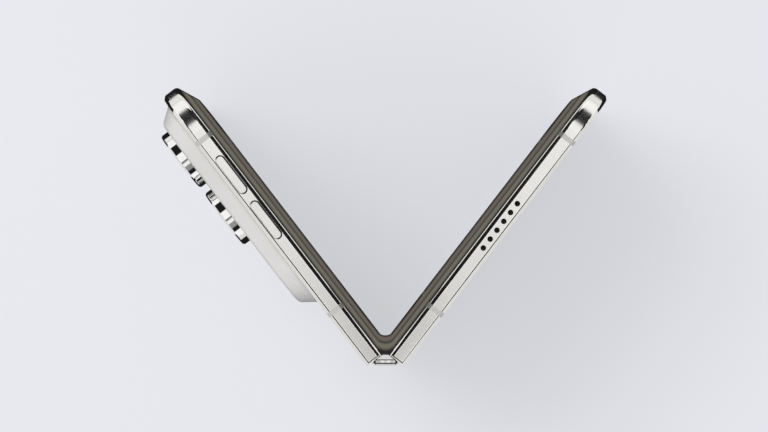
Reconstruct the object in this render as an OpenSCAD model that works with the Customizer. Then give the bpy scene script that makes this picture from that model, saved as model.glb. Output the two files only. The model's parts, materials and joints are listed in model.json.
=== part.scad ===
// Book-style foldable smartphone, standing half open on its bottom edges.
// Millimetres. +Z runs up the hinge, +X is the camera half, -Y is the side that opens.
// The origin is the middle of the flat end of the spine, level with the bottom edges.
// A half is drawn lying open: X runs from its hinge edge, Y up the hinge, Z from display to back.

/* [Halves] */
// Length of each half, from its hinge edge to its free edge
half_l = 83.8; // [78:0.1:92]
// Height of the phone along the hinge
body_h = 120.6; // [114:0.1:135]
// Thickness of each half
half_t = 4.8; // [4.7:0.1:6]
// Plan radius of the free-edge corners
corner_r = 12.5; // [9:0.5:15]
// Width of the metal rim
rim_w = 2; // [1.8:0.1:2.6]
// Edge rounding on the display side
front_fillet = 1.25; // [0.8:0.05:1.3]
// Edge chamfer on the back
back_chamfer = 0.8; // [0.5:0.05:0.9]
// Rounding between a flat edge face and its chamfer
chamfer_round = 0.5; // [0.2:0.05:0.6]
// Rounding of the back edge at the hinge end
hinge_edge_fillet = 0.4; // [0.1:0.05:0.6]
// Chamfer of the end faces beside the spine
hinge_end_chamfer = 0.35; // [0.2:0.05:0.4]
// Angle between the two displays
open_angle = 75; // [50:1:140]

/* [Display] */
// Width of the metal lip round the folding display
bezel_w = 1.5; // [1.3:0.05:1.8]
// Depth of the display surface below the lip
display_recess = 0.25; // [0.1:0.05:0.4]
// Thickness of the folding display
display_t = 0.5; // [0.3:0.05:0.6]
// Thickness of the plate that stiffens each flat display area
plate_t = 0.2; // [0.1:0.05:0.3]
// Thickness of the web that closes the frame under the display
web_t = 0.3; // [0.2:0.05:0.5]
// Reach of the bending zone into each half
fold_reach = 3; // [2.8:0.1:4]
// Radius of the punch hole for the inner camera
inner_camera_r = 1.9; // [1.5:0.1:2.5]

/* [Back] */
// Thickness of the back glass and of the cover glass
glass_t = 0.6; // [0.4:0.05:0.8]
// Inset of the glass from the edge of the frame
glass_inset = 1.1; // [1:0.05:1.4]
// Thickness of the outer display under the cover glass
cover_display_t = 0.5; // [0.3:0.05:0.7]

/* [Camera plateau] */
// Height of the camera plateau above the back
plateau_h = 4.15; // [3.4:0.05:4.6]
// Length of the plateau at its foot
plateau_l = 64; // [58:0.1:66]
// Width of the plateau at its foot
plateau_w = 28.4; // [28:0.1:31]
// Strip of flat back between the plateau and the free edge
plateau_edge_gap = 1.25; // [1.2:0.05:3]
// Strip of flat back between the plateau and the top edge
plateau_top_gap = 1.3; // [1.2:0.1:3]
// Rounding of the plateau's upper edge
plateau_top_fillet = 1.8; // [1.2:0.1:2.2]
// Hollow blend at the plateau's foot
plateau_foot_fillet = 2; // [1.6:0.1:2.6]
// Slope of the plateau's sides
plateau_slope = 54; // [50:1:62]
// Plan radius of the flat top of the plateau
plateau_corner_r = 8.5; // [6:0.1:8.6]
// Outer radius of a lens ring
lens_ring_r = 8.05; // [7:0.05:8.5]
// Height of a lens ring above the plateau
lens_ring_h = 2.25; // [1:0.05:2.5]
// Radial width of a lens ring
lens_ring_w = 1.35; // [0.9:0.05:2]
// Chamfer of a lens ring
lens_chamfer = 0.4; // [0.1:0.05:0.6]
// Distance between the two lenses
lens_pitch = 18; // [17.2:0.1:19]
// Distance from the outer lens axis to the free edge
lens_edge = 15.4; // [14.5:0.1:17]
// Thickness of a lens window
window_t = 0.5; // [0.3:0.05:0.8]
// Radius of the flash window
flash_r = 2.6; // [2:0.1:3.2]

/* [Edge features] */
// Length of a volume button's recess
volume_l = 11.5; // [9:0.1:12.5]
// Width of a volume button's recess
volume_w = 2.5; // [2:0.05:2.5]
// Distance between the middles of the two volume buttons
volume_pitch = 14; // [13:0.1:16]
// Distance from the hinge edge to the middle of the nearer volume button
volume_s = 43.75; // [38:0.1:48]
// Height of a volume button above the rim
button_proud = 0.15; // [0.05:0.05:0.3]
// Travel of a button
button_travel = 0.25; // [0.15:0.05:0.3]
// Length of the side button's recess
side_button_l = 13; // [10:0.1:16]
// Height of the middle of the side button
side_button_z = 72; // [60:0.5:80]
// Radius of a speaker hole
speaker_hole_r = 0.7; // [0.4:0.05:0.8]
// Distance between speaker holes
speaker_pitch = 2.75; // [2:0.05:3]
// Number of speaker holes in a row
speaker_count = 6; // [3:1:7]
// Width of an antenna band
band_w = 1.3; // [0.8:0.1:2]
// Distance from the hinge edge to the first antenna band
band_near_s = 15.7; // [13:0.1:20]
// Distance from the hinge edge to the second antenna band
band_far_s = 68.9; // [66:0.1:69]
// Length of the card tray's face
tray_l = 15; // [14:0.1:17]
// Height of the middle of the card tray
tray_z = 24; // [22:0.5:26]
// Reach of the card tray into the half
tray_depth = 14; // [12:0.5:18]

/* [Hinge] */
// Distance from the middle plane to each hinge axis
axis_x = 2.5; // [2.4:0.05:2.6]
// Depth of the hinge axes below the lip of the frame
axis_depth = 2.2; // [2.15:0.05:2.3]
// Radius of the spine about a hinge axis
spine_r = 1.25; // [1.25:0.01:1.3]
// Height of the hinge blocks above the axes, towards the display
block_top = 1.05; // [0.9:0.05:1.1]
// Wall of the spine cover
spine_wall = 0.22; // [0.15:0.01:0.22]
// Wall of each frame above and below the spine
end_wall = 1.2; // [1:0.1:1.4]
// Radius of the rounded outer end of the spine
spine_end_fillet = 0.6; // [0.3:0.05:0.7]
// Radius of the main hinge pins
pin_r = 0.35; // [0.3:0.01:0.36]
// Radius of the idler pins
idler_pin_r = 0.25; // [0.2:0.01:0.28]
// Radial clearance of a knuckle on its pin
pin_clearance = 0.04; // [0.02:0.01:0.06]
// Radius of a knuckle
knuckle_r = 0.85; // [0.75:0.01:0.9]
// Teeth of each of the four hinge gears in a row
gear_teeth = 9; // [9:2:11]
// Pressure angle of the hinge gears
pressure_angle = 25; // [20:1:28]
// Play between two hinge gears at the pitch circle
gear_play = 0.03; // [0.01:0.005:0.05]
// Width of the hinge gears
gear_w = 3; // [2:0.1:4]
// Width of a hinge arm at the knuckle
arm_w = 7; // [6:0.1:9]
// Width of a hinge arm's plate inside the half
arm_plate_w = 12; // [10:0.5:16]
// Reach of a hinge arm into the half
arm_l = 12.5; // [11:0.1:13]
// Thickness of a hinge arm's plate
arm_t = 1.2; // [0.8:0.05:1.5]
// Distance from each end of the phone to the middle of a hinge module
module_z = 25; // [22:0.5:30]
// Radius of an arm screw's shank
screw_r = 0.5; // [0.3:0.05:0.7]

/* [Hidden] */
$fn = 48;

// Colours
satin_metal = [0.86, 0.85, 0.83];
bright_metal = [0.92, 0.92, 0.92];
band_grey = [0.6, 0.6, 0.59];
pearl = [0.88, 0.87, 0.85];
gloss_black = [0.05, 0.05, 0.06];
board_green = [0.1, 0.3, 0.2];
cell_grey = [0.25, 0.25, 0.27];
steel = [0.7, 0.7, 0.72];

// Gaps between pieces
seat_gap = 0.05;
run_gap = 0.15;
cut = 1;

// Depths inside a half, counted from the lip
panel_top = display_recess;
plate_top = panel_top + display_t;
web_top = plate_top + plate_t;
inner_top = web_top + web_t;
glass_seat = half_t - glass_t;
flat_end = half_t - back_chamfer - chamfer_round * tan(22.5);
edge_mid = (front_fillet + flat_end) / 2;

// Hinge geometry, seen down the hinge: u is across, v runs from the axes towards the opening
half_angle = open_angle / 2;
fold_turn = 90 - half_angle;
pocket_r = spine_r + 0.1;
pocket_s = pocket_r + 0.05;
rail_s = fold_reach + 0.4;
tongue_x = axis_x - 0.1;
tongue_top = 0.06;
block_gap = 0.1;
spine_z = end_wall + run_gap;
spine_end_wall = 1.2;
axis_y = -(tongue_top + spine_r - spine_end_fillet) / 2;
gear_pitch_r = axis_x / 3;
module_heights = [module_z, body_h - module_z];
window_w = arm_w + 0.2;
pin_l = window_w + 4;
arm_rise = pocket_r + 0.2;

// Length of a run of speaker holes
speaker_s = half_l / 2;
port_s = half_l / 2;
lens_z = body_h - plateau_top_gap - plateau_w / 2;
lens_s = [half_l - lens_edge, half_l - lens_edge - lens_pitch];
lens_bore_r = lens_ring_r - lens_ring_w;
plateau_top = half_t + plateau_h;
plateau_side_w = (plateau_top_fillet + plateau_foot_fillet) * sin(plateau_slope)
    + (plateau_h - (plateau_top_fillet + plateau_foot_fillet) * (1 - cos(plateau_slope)))
    / tan(plateau_slope);
plateau_foot_s = half_l - plateau_edge_gap - plateau_l;

// ---------- placing ----------

// Stands a piece of the camera half, drawn in section (from the hinge edge, from the lip), on the hinge axis
module camera_side() {
    translate([axis_x, axis_y, 0])
        rotate([0, 0, half_angle - 90])
            translate([0, -axis_depth, 0])
                children();
}

module cover_side() {
    mirror([1, 0, 0]) camera_side() children();
}

// The same for a piece drawn lying open
module camera_half() {
    camera_side() mirror([0, 1, -1]) children();
}

module cover_half() {
    cover_side() mirror([0, 1, -1]) children();
}

// ---------- outlines of a half ----------

module half_plan(inset, from = 0) {
    run = half_l - corner_r;
    translate([from, inset])
        square([run - from, body_h - 2 * inset]);
    translate([from, corner_r])
        square([half_l - inset - from, body_h - 2 * corner_r]);
    for (y = [corner_r, body_h - corner_r])
        translate([run, y])
            circle(corner_r - inset, $fn = 96);
}

module half_slab(low, high, inset, from = 0) {
    translate([0, 0, low])
        linear_extrude(high - low)
            half_plan(inset, from);
}

// Carries a profile round the three free edges: its X runs inward from the edge, its Y is depth
module around_edges() {
    run = half_l - corner_r;
    for (side = [0, 1])
        translate([0, side * body_h, 0])
            mirror([0, side, 0]) {
                rotate([90, 0, 90])
                    linear_extrude(run)
                        children();
                translate([run, corner_r, 0])
                    rotate([0, 0, -90])
                        rotate_extrude(angle = 90, $fn = 96)
                            translate([corner_r, 0])
                                mirror([1, 0])
                                    children();
            }
    translate([half_l, corner_r, 0])
        rotate([90, 0, 180])
            linear_extrude(body_h - 2 * corner_r)
                children();
}

// Corner of a metal edge at the origin: its flat face lies along X, with a chamfer to the face along Y
module chamfered_corner(chamfer, size) {
    r = chamfer_round;
    round_x = chamfer + r * tan(22.5);
    polygon([
        [round_x, 0], [size, 0], [size, size], [0, size], [0, chamfer],
        [round_x - r * sin(45), r - r * cos(45)], [round_x, r]
    ]);
    translate([round_x, r])
        circle(r);
}

module rim_profile() {
    mid = half_t / 2;
    difference() {
        intersection() {
            square([rim_w, half_t]);
            union() {
                translate([front_fillet, front_fillet])
                    circle(front_fillet);
                translate([0, front_fillet])
                    square([rim_w, half_t - front_fillet - mid]);
                translate([front_fillet, 0])
                    square([rim_w - front_fillet, mid]);
                translate([0, half_t])
                    rotate(-90)
                        chamfered_corner(back_chamfer, mid);
            }
        }
        translate([bezel_w, -cut])
            square([rim_w, web_top + cut]);
        translate([glass_inset, glass_seat])
            square([rim_w, glass_t + cut]);
    }
}

module pill(length, width) {
    for (side = [-1, 1])
        translate([side * (length - width) / 2, 0])
            circle(width / 2);
    square([length - width, width], center = true);
}

// A shape drawn along the edge and in depth, pushed inward from the top edge
module from_top_edge(start, depth) {
    translate([0, body_h - start - depth, 0])
        mirror([0, 1, -1])
            linear_extrude(depth)
                children();
}

module from_bottom_edge(start, depth) {
    translate([0, start, 0])
        mirror([0, 1, -1])
            linear_extrude(depth)
                children();
}

// The same from the free edge, where the shape's X is height
module from_free_edge(start, depth) {
    translate([half_l - start - depth, 0, 0])
        rotate([90, 0, 90])
            linear_extrude(depth)
                children();
}

module at_edge(along) {
    translate([along, edge_mid]) children();
}

// ---------- frames ----------

// Section of the rail beside the spine, with its slope under the bending display
module hinge_rail_section() {
    difference() {
        polygon([
            [0, axis_depth], [pocket_s, axis_depth], [pocket_s, arm_rise], [pocket_s + 0.3, arm_rise],
            [fold_reach - 0.4, web_top], [rail_s, web_top], [rail_s, half_t], [0, half_t]
        ]);
        translate([0, axis_depth])
            circle(pocket_r);
    }
}

module hinge_rail() {
    translate([0, end_wall, 0])
        mirror([0, 1, -1])
            linear_extrude(body_h - 2 * end_wall)
                hinge_rail_section();
}

// Room for the spine, between the frame's end walls
module spine_pocket() {
    translate([0, end_wall, 0])
        mirror([0, 1, -1])
            linear_extrude(body_h - 2 * end_wall) {
                translate([0, axis_depth])
                    circle(pocket_r);
                translate([-cut, -cut])
                    square([pocket_s + cut, axis_depth + cut]);
            }
}

module arm_notches() {
    for (z = module_heights)
        translate([-cut, z - window_w / 2, -cut])
            cube([rail_s + cut + seat_gap, window_w, axis_depth + knuckle_r + run_gap + cut]);
}

module hinge_edge_rounding() {
    translate([0, -cut, 0])
        mirror([0, 1, -1])
            linear_extrude(body_h + 2 * cut)
                difference() {
                    translate([-cut, half_t - hinge_edge_fillet])
                        square([hinge_edge_fillet + cut, hinge_edge_fillet + cut]);
                    translate([hinge_edge_fillet, half_t - hinge_edge_fillet])
                        circle(hinge_edge_fillet);
                }
}

// Chamfers of the upper and lower ends of the face beside the spine
module hinge_end_chamfers() {
    size = 2 * chamfer_round;
    for (end = [0, 1])
        translate([0, end * body_h, -cut])
            mirror([0, end, 0])
                linear_extrude(half_t + 2 * cut)
                    difference() {
                        translate([-cut, -cut])
                            square(size + cut - 0.01);
                        chamfered_corner(hinge_end_chamfer, size);
                    }
}

// Room for the bending display over the ledge of the rim
module fold_relief() {
    translate([-cut, bezel_w, 0])
        cube([cut + fold_reach - 0.7, body_h - 2 * bezel_w, web_top + 0.2]);
}

module band_slots() {
    for (s = [band_near_s, band_far_s], y = [-cut, body_h - rim_w])
        translate([s - band_w / 2, y, -cut])
            cube([band_w, rim_w + cut, half_t + 2 * cut]);
}

module frame_blank() {
    difference() {
        union() {
            around_edges() rim_profile();
            hinge_rail();
            half_slab(web_top, inner_top, rim_w - 0.3, rail_s - 0.3);
        }
        spine_pocket();
        arm_notches();
        hinge_edge_rounding();
        hinge_end_chamfers();
        fold_relief();
        band_slots();
    }
}

module speaker_holes() {
    for (i = [0 : speaker_count - 1])
        translate([(i - (speaker_count - 1) / 2) * speaker_pitch, 0])
            circle(speaker_hole_r);
}

module bands() {
    intersection() {
        around_edges() rim_profile();
        band_slots();
    }
}

// ---------- camera half ----------

speaker_from_port = 16.1;
bottom_speaker_s = port_s + speaker_from_port;
port_w = 8.94;
port_h = 3.1;
port_depth = 7.3;
port_wall = 0.27;

module camera_half_frame() {
    color(satin_metal)
        camera_half()
            difference() {
                frame_blank();
                for (s = [volume_s, volume_s + volume_pitch])
                    from_top_edge(-cut, rim_w + 2 * cut)
                        at_edge(s) pill(volume_l, volume_w);
                from_free_edge(-cut, rim_w + 2 * cut)
                    at_edge(side_button_z) pill(side_button_l, volume_w);
                from_bottom_edge(-cut, port_depth + cut)
                    at_edge(port_s) pill(port_w, port_h);
                from_bottom_edge(-cut, rim_w + 2 * cut)
                    at_edge(bottom_speaker_s) speaker_holes();
                translate([inner_camera_s, inner_camera_z, 0])
                    cylinder(r = inner_camera_body_r + seat_gap, h = inner_top + seat_gap);
            }
}

module camera_half_antenna_bands() {
    color(band_grey) camera_half() bands();
}

// Side of the plateau, from the middle of a corner outward: a round edge, a slope and a hollow foot
module plateau_profile() {
    fall = 1 - cos(plateau_slope);
    brow = [
        plateau_corner_r + plateau_top_fillet * sin(plateau_slope),
        plateau_h - plateau_top_fillet * fall
    ];
    foot_x = plateau_corner_r + plateau_side_w;
    foot = [foot_x - plateau_foot_fillet * sin(plateau_slope), plateau_foot_fillet * fall];
    intersection() {
        square([foot_x, plateau_h]);
        union() {
            square([plateau_corner_r, plateau_h]);
            translate([plateau_corner_r, plateau_h - plateau_top_fillet])
                circle(plateau_top_fillet);
            polygon([
                [0, 0], [0, plateau_h - plateau_top_fillet],
                [plateau_corner_r, plateau_h - plateau_top_fillet], brow, foot, [foot[0], 0]
            ]);
            difference() {
                translate([foot[0], 0])
                    square([foot_x - foot[0] - 0.15, foot[1]]);
                translate([foot_x, plateau_foot_fillet])
                    circle(plateau_foot_fillet);
            }
        }
    }
}

module plateau_solid() {
    spread = plateau_corner_r + plateau_side_w;
    run_x = plateau_l - 2 * spread;
    run_y = plateau_w - 2 * spread;
    x0 = plateau_foot_s + spread;
    y0 = body_h - plateau_top_gap - plateau_w + spread;
    translate([x0, y0, half_t - 0.02]) {
        for (c = [[0, 0, 180], [run_x, 0, 270], [run_x, run_y, 0], [0, run_y, 90]])
            translate([c[0], c[1], 0])
                rotate([0, 0, c[2]])
                    rotate_extrude(angle = 90, $fn = 96)
                        plateau_profile();
        translate([run_x, 0, 0]) rotate([90, 0, -90]) linear_extrude(run_x) plateau_profile();
        translate([0, run_y, 0]) rotate([90, 0, 90]) linear_extrude(run_x) plateau_profile();
        rotate([90, 0, 180]) linear_extrude(run_y) plateau_profile();
        translate([run_x, run_y, 0]) rotate([90, 0, 0]) linear_extrude(run_y) plateau_profile();
        cube([run_x, run_y, plateau_h]);
    }
}

flash_from_foot = 12.85;
mic_from_flash = 7;
flash_s = plateau_foot_s + flash_from_foot;
mic_s = flash_s + mic_from_flash;
mic_r = 0.5;

module camera_back_glass() {
    color(pearl)
        camera_half()
            difference() {
                union() {
                    half_slab(glass_seat, half_t, glass_inset + seat_gap, rail_s + seat_gap);
                    plateau_solid();
                }
                for (s = lens_s)
                    translate([s, lens_z, -cut])
                        cylinder(r = lens_bore_r, h = plateau_top + 2 * cut);
                translate([flash_s, lens_z, half_t])
                    cylinder(r = flash_r + seat_gap, h = plateau_h + cut);
                translate([mic_s, lens_z, half_t])
                    cylinder(r = mic_r, h = plateau_h + cut);
            }
}

// A ring with a chamfered rim and a stepped inner wall that holds the window
module lens_ring(s) {
    seat_r = lens_bore_r - 0.35;
    rise = lens_ring_h;
    color(bright_metal)
        camera_half()
            translate([s, lens_z, plateau_top])
                rotate_extrude($fn = 96)
                    polygon([
                        [seat_r, 0], [lens_ring_r, 0], [lens_ring_r, rise - lens_chamfer],
                        [lens_ring_r - lens_chamfer, rise], [lens_bore_r + 0.15, rise],
                        [lens_bore_r, rise - 0.25], [lens_bore_r, rise - 0.3 - window_t],
                        [seat_r, rise - 0.3 - window_t]
                    ]);
}

module lens_ring_outer() {
    lens_ring(lens_s[0]);
}

module lens_ring_inner() {
    lens_ring(lens_s[1]);
}

module lens_window(s) {
    color(gloss_black)
        camera_half()
            translate([s, lens_z, plateau_top + lens_ring_h - 0.3 - window_t])
                cylinder(r = lens_bore_r, h = window_t, $fn = 96);
}

module lens_window_outer() {
    lens_window(lens_s[0]);
}

module lens_window_inner() {
    lens_window(lens_s[1]);
}

// Sensor housing with a stepped lens barrel on it
module camera_module(s) {
    barrel_r = lens_bore_r - 0.6;
    body = 2 * (lens_bore_r - 0.3);
    body_top = glass_seat - seat_gap;
    lens_top = plateau_top + lens_ring_h - 0.3 - window_t - run_gap;
    color(cell_grey)
        camera_half()
            translate([s, lens_z, 0])
                difference() {
                    union() {
                        translate([-body / 2, -body / 2, inner_top])
                            cube([body, body, body_top - inner_top]);
                        cylinder_between(barrel_r, body_top, lens_top - 0.8);
                        cylinder_between(barrel_r - 1.2, lens_top - 0.8, lens_top);
                    }
                    cylinder_between(barrel_r / 2, lens_top - 0.5, lens_top + cut);
                }
}

module cylinder_between(r, low, high) {
    translate([0, 0, low])
        cylinder(r = r, h = high - low);
}

module camera_module_outer() {
    camera_module(lens_s[0]);
}

module camera_module_inner() {
    camera_module(lens_s[1]);
}

module flash_window() {
    color(bright_metal)
        camera_half()
            translate([flash_s, lens_z, half_t])
                cylinder(r = flash_r, h = plateau_h - 0.05);
}

// Cap, stem and the flange that keeps a button in its recess, all behind one pill outline
module button_section(length, width, proud) {
    reach = rim_w + run_gap;
    translate([0, 0, -proud])
        linear_extrude(proud + reach)
            pill(length - 2 * run_gap, width - 2 * run_gap);
    translate([0, 0, reach])
        linear_extrude(0.4)
            pill(length + 0.8, 2 * (edge_mid - inner_top - run_gap));
    translate([0, 0, reach])
        linear_extrude(0.8)
            square([2.4, 1.2], center = true);
}

module volume_button(s) {
    color(satin_metal)
        camera_half()
            translate([s, body_h, edge_mid])
                rotate([90, 0, 0])
                    button_section(volume_l, volume_w, button_proud);
}

module volume_up_button() {
    volume_button(volume_s);
}

module volume_down_button() {
    volume_button(volume_s + volume_pitch);
}

module side_button() {
    color(satin_metal)
        camera_half()
            translate([half_l, side_button_z, edge_mid])
                rotate([90, 0, -90])
                    button_section(side_button_l, volume_w, 0.05);
}

// Inner pieces lie in the space between the web and the back glass
board_t = 0.7;
board_top = inner_top + 0.1;
board_s = arm_l + 1.5;
board_below_lens = 14;
board_past_lens = 9;
board_z = lens_z - board_below_lens;
board_top_gap = 5;
inner_camera_body_r = 2.2;
inner_camera_edge = 5.3;
inner_camera_top = 9.6;
inner_camera_s = half_l - inner_camera_edge;
inner_camera_z = body_h - inner_camera_top;

module rounded_box(x, y, low, size_x, size_y, size_z, r) {
    translate([x, y, low])
        linear_extrude(size_z) {
            for (cx = [r, size_x - r], cy = [r, size_y - r])
                translate([cx, cy]) circle(r);
            translate([r, 0]) square([size_x - 2 * r, size_y]);
            translate([0, r]) square([size_x, size_y - 2 * r]);
        }
}

module main_board() {
    board_l = lens_s[1] + board_past_lens - board_s;
    color(board_green)
        camera_half()
            difference() {
                rounded_box(board_s, board_z, board_top,
                    board_l, body_h - board_top_gap - board_z, board_t, 1);
                translate([lens_s[1], lens_z, 0])
                    cube([2 * lens_bore_r, 2 * lens_bore_r, 2 * half_t], center = true);
            }
}

shield_l = 22;
shield_w = 20;
shield_t = 1;
shield_inset = 2.5;

module shield_can() {
    color(steel)
        camera_half()
            rounded_box(board_s + shield_inset, board_z + shield_inset, board_top + board_t,
                shield_l, shield_w, shield_t, 0.8);
}

battery_edge = 4;
battery_low = 15;
battery_gap = 2;

module camera_half_battery() {
    color(cell_grey)
        camera_half()
            rounded_box(board_s, battery_low, inner_top, half_l - board_s - battery_edge,
                board_z - battery_low - battery_gap, glass_seat - inner_top - 0.1, 1.5);
}

module charging_port() {
    tongue_l = 6.7;
    tongue_h = 0.7;
    color(steel)
        camera_half() {
            from_bottom_edge(0.1, port_depth - 0.2)
                at_edge(port_s)
                    difference() {
                        pill(port_w - 0.04, port_h - 0.04);
                        pill(port_w - 2 * port_wall, port_h - 2 * port_wall);
                    }
            from_bottom_edge(port_depth - 0.6, 0.5)
                at_edge(port_s) pill(port_w - port_wall, port_h - port_wall);
            from_bottom_edge(1, port_depth - 1.2)
                at_edge(port_s) square([tongue_l, tongue_h], center = true);
        }
}

mesh_t = 0.12;

module mesh_strip(s) {
    from_bottom_edge(rim_w, mesh_t)
        at_edge(s)
            difference() {
                square([speaker_count * speaker_pitch, 2 * speaker_hole_r + 0.8], center = true);
                for (i = [0 : speaker_count - 1], j = [-1, 0, 1])
                    translate([(i - (speaker_count - 1) / 2) * speaker_pitch + 0.4 * j, 0])
                        square([0.15, 0.9], center = true);
            }
}

module bottom_speaker_mesh() {
    color(gloss_black) camera_half() mesh_strip(bottom_speaker_s);
}

speaker_box_l = 19;
bottom_speaker_w = 9;
top_speaker_w = 3.8;
top_speaker_t = 2;

module speaker_box(s, width, thickness, r) {
    rounded_box(s - speaker_box_l / 2, rim_w + mesh_t + seat_gap, inner_top,
        speaker_box_l, width, thickness, r);
}

module bottom_speaker() {
    color(cell_grey)
        camera_half()
            speaker_box(bottom_speaker_s, bottom_speaker_w, glass_seat - inner_top - 0.2, 1);
}

haptic_s = 20;
haptic_z = 4;
haptic_l = 13;
haptic_w = 8;
haptic_t = 2.4;

module haptic_motor() {
    color(steel)
        camera_half()
            rounded_box(haptic_s, haptic_z, inner_top, haptic_l, haptic_w, haptic_t, 1);
}

module inner_camera() {
    color(gloss_black)
        camera_half()
            translate([inner_camera_s, inner_camera_z, 0]) {
                cylinder_between(inner_camera_r - seat_gap, panel_top + 0.05, plate_top + plate_t);
                cylinder_between(inner_camera_body_r, web_top, inner_top + 2.2);
            }
}

module support_plate() {
    half_slab(plate_top, web_top, bezel_w + seat_gap, fold_reach);
}

module display_panel() {
    half_slab(panel_top, plate_top, bezel_w + seat_gap, fold_reach);
}

module inner_camera_hole() {
    translate([inner_camera_s, inner_camera_z, -cut])
        cylinder(r = inner_camera_r, h = web_top + 2 * cut);
}

module camera_half_support_plate() {
    color(steel)
        camera_half()
            difference() {
                support_plate();
                inner_camera_hole();
            }
}

module display_panel_camera_side() {
    color(gloss_black)
        camera_half()
            difference() {
                display_panel();
                inner_camera_hole();
            }
}

// ---------- cover half ----------

cover_camera_r = 1.7;
cover_camera_top = 9;
cover_camera_z = body_h - cover_camera_top;

module cover_half_frame() {
    color(satin_metal)
        cover_half()
            difference() {
                frame_blank();
                from_top_edge(-cut, rim_w + 2 * cut)
                    at_edge(speaker_s) speaker_holes();
                from_free_edge(-cut, rim_w + 2 * cut)
                    at_edge(tray_z) pill(tray_l + 0.2, tray_face_w + 0.2);
            }
}

module cover_half_antenna_bands() {
    color(band_grey) cover_half() bands();
}

module cover_camera_hole() {
    translate([half_l / 2, cover_camera_z, 0])
        cylinder(r = cover_camera_r, h = half_t - 0.25);
}

module cover_glass() {
    color(gloss_black)
        cover_half()
            half_slab(glass_seat, half_t, glass_inset + seat_gap, rail_s + seat_gap);
}

module cover_display() {
    color(gloss_black)
        cover_half()
            difference() {
                half_slab(glass_seat - cover_display_t, glass_seat, rim_w + seat_gap, rail_s + seat_gap);
                cover_camera_hole();
            }
}

module cover_camera() {
    low = glass_seat - cover_display_t;
    color(gloss_black)
        cover_half()
            translate([half_l / 2, cover_camera_z, 0]) {
                cylinder_between(cover_camera_r - seat_gap, low, glass_seat);
                cylinder_between(2.6, inner_top, low);
            }
}

module top_speaker() {
    color(cell_grey)
        cover_half()
            translate([0, body_h, 0])
                mirror([0, 1, 0])
                    speaker_box(speaker_s, top_speaker_w, top_speaker_t, 0.5);
}

module top_speaker_mesh() {
    color(gloss_black)
        cover_half()
            translate([0, body_h, 0])
                mirror([0, 1, 0])
                    mesh_strip(speaker_s);
}

cover_battery_top_gap = 14;

module cover_half_battery() {
    low = tray_z + tray_l / 2 + 3;
    color(cell_grey)
        cover_half()
            rounded_box(board_s, low, inner_top, half_l - board_s - battery_edge,
                body_h - cover_battery_top_gap - low, glass_seat - cover_display_t - inner_top - 0.1, 1.5);
}

cover_board_z = 4;
cover_board_w = 24;
cover_board_t = 0.45;
cover_board_gap = 2.5;

module cover_half_board() {
    color(board_green)
        cover_half()
            rounded_box(board_s, cover_board_z, inner_top, half_l - board_s - tray_depth - cover_board_gap,
                cover_board_w, cover_board_t, 1);
}

tray_face_w = 2;
tray_cap = 1.2;
tray_plate_t = 0.9;

// Card tray: a flush cap with an ejector hole, and a plate with two card seats
module card_tray() {
    plate_w = tray_l - 3;
    seat_w = plate_w - 1.6;
    color(satin_metal)
        cover_half()
            difference() {
                union() {
                    from_free_edge(0, tray_cap)
                        at_edge(tray_z) pill(tray_l, tray_face_w);
                    translate([half_l - tray_depth, tray_z - plate_w / 2, edge_mid - tray_plate_t / 2])
                        cube([tray_depth - tray_cap + 0.1, plate_w, tray_plate_t]);
                }
                from_free_edge(-cut, tray_cap + cut)
                    translate([tray_z - tray_l / 2 + 1.4, edge_mid]) circle(0.4);
                translate([half_l - tray_depth + 0.8, tray_z - seat_w / 2, edge_mid - 0.1])
                    cube([tray_depth - tray_cap - rim_w, seat_w, half_t]);
            }
}

module cover_half_support_plate() {
    color(steel) cover_half() support_plate();
}

module display_panel_cover_side() {
    color(gloss_black) cover_half() display_panel();
}

// ---------- bending display ----------

function smooth(w) = w * w * (3 - 2 * w);

// Where the middle of the display lies when a point u along the flat display turns with the half
function fold_point(u) =
    let (reach = axis_x + fold_reach,
         turn = smooth(abs(u) / reach) * fold_turn,
         a = abs(u) - axis_x,
         b = axis_depth - display_recess - display_t / 2)
    [sign(u) * (axis_x + a * cos(turn) - b * sin(turn)), axis_y - a * sin(turn) - b * cos(turn)];

function fold_side(u, side) =
    let (d = fold_point(u + 0.01) - fold_point(u - 0.01), n = d / norm(d))
    fold_point(u) + side * display_t / 2 * [-n[1], n[0]];

module display_fold() {
    steps = 14;
    reach = axis_x + fold_reach - 0.03;
    side_points = [for (i = [-steps : steps]) reach * i / steps];
    color(gloss_black)
        translate([0, 0, bezel_w + seat_gap])
            linear_extrude(body_h - 2 * bezel_w - 2 * seat_gap)
                polygon(concat(
                    [for (u = side_points) fold_side(u, 1)],
                    [for (i = [2 * steps : -1 : 0]) fold_side(side_points[i], -1)]
                ));
}

// ---------- spine ----------

// Flat-sided section with an end round each hinge axis, cut between two depths
module spine_section(r, low, high) {
    intersection() {
        union() {
            for (side = [-1, 1])
                translate([side * axis_x, 0])
                    circle(r);
            square([2 * axis_x, 2 * r], center = true);
        }
        translate([-2 * axis_x, low])
            square([4 * axis_x, high - low]);
    }
}

module along_spine(low, high) {
    translate([0, axis_y, low])
        linear_extrude(high - low)
            children();
}

// Flat end of the cover, level with the frames, with a rounded outer edge
module spine_tongue() {
    depth = spine_z + spine_end_wall;
    r = spine_end_fillet;
    translate([-tongue_x, axis_y, 0])
        rotate([90, 0, 90])
            linear_extrude(2 * tongue_x) {
                translate([tongue_top, 0])
                    square([spine_r - r - tongue_top, depth]);
                translate([tongue_top, r])
                    square([spine_r - tongue_top, depth - r]);
                translate([spine_r - r, r])
                    circle(r);
            }
}

module spine_cover() {
    color(satin_metal) {
        difference() {
            along_spine(spine_z, body_h - spine_z)
                spine_section(spine_r, 0, spine_r);
            along_spine(spine_z + spine_end_wall, body_h - spine_z - spine_end_wall)
                spine_section(spine_r - spine_wall, -cut, spine_r);
        }
        spine_tongue();
        translate([0, 0, body_h])
            mirror([0, 0, 1])
                spine_tongue();
    }
}

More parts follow.
